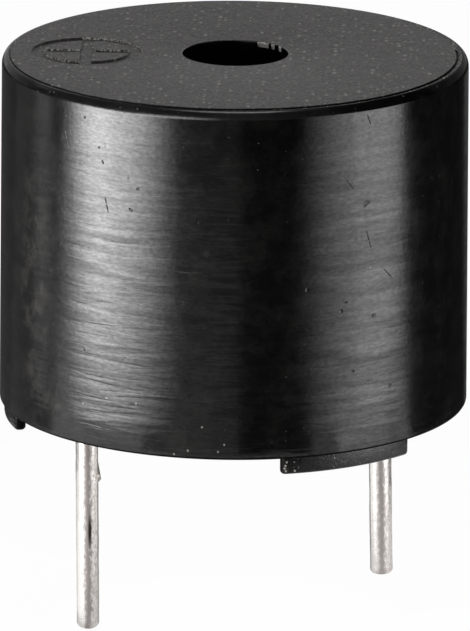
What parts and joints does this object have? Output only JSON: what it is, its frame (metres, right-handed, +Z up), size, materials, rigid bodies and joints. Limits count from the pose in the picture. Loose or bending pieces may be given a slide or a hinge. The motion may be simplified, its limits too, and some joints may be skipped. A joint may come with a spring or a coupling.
{
  "type": "piezo buzzer",
  "caption": "Round black piezo buzzer for a circuit board, with a central sound port in its flat top, standoff feet under the rim and straight tinned wire pins of unequal length.",
  "frame": {"origin": "middle of the seating plane under the feet, midway between the pins", "axes": "+Z up out of the sound port, +X towards the shorter negative pin"},
  "size_m": [0.012, 0.012, 0.0154],
  "materials": {
    "case_plastic": "moulded, satin sides and a spark-textured top",
    "silicone": "soft white silicone bond",
    "brass": "rolled sheet",
    "piezo_ceramic": "fired, with a silvered face",
    "solder": "bright soft solder",
    "tinned_wire": "tinned copper",
    "tinned_pin": "hot-tinned wire, slightly uneven",
    "board_laminate": "green solder mask on glass-epoxy laminate",
    "moulded_epoxy": "moulded black epoxy",
    "chip_ceramic": "glazed chip with plated ends",
    "sealing_resin": "poured black epoxy"
  },
  "bodies": {
    "root": {"case": "case_plastic", "bond_ring": "silicone", "brass_plate": "brass", "piezo_ceramic": "piezo_ceramic", "disc_solder": "solder", "main_wire": "tinned_wire", "feedback_wire": "tinned_wire", "ground_wire": "tinned_wire", "wire_solder": "solder", "circuit_board": "board_laminate", "drive_transistor": "moulded_epoxy", "transistor_leads": "tinned_wire", "base_resistor": "chip_ceramic", "load_resistor": "chip_ceramic", "feedback_resistor": "chip_ceramic", "chip_solder": "solder", "positive_pin": "tinned_pin", "negative_pin": "tinned_pin", "pin_solder": "solder", "sealing_resin": "sealing_resin"}
  },
  "joints": []
}
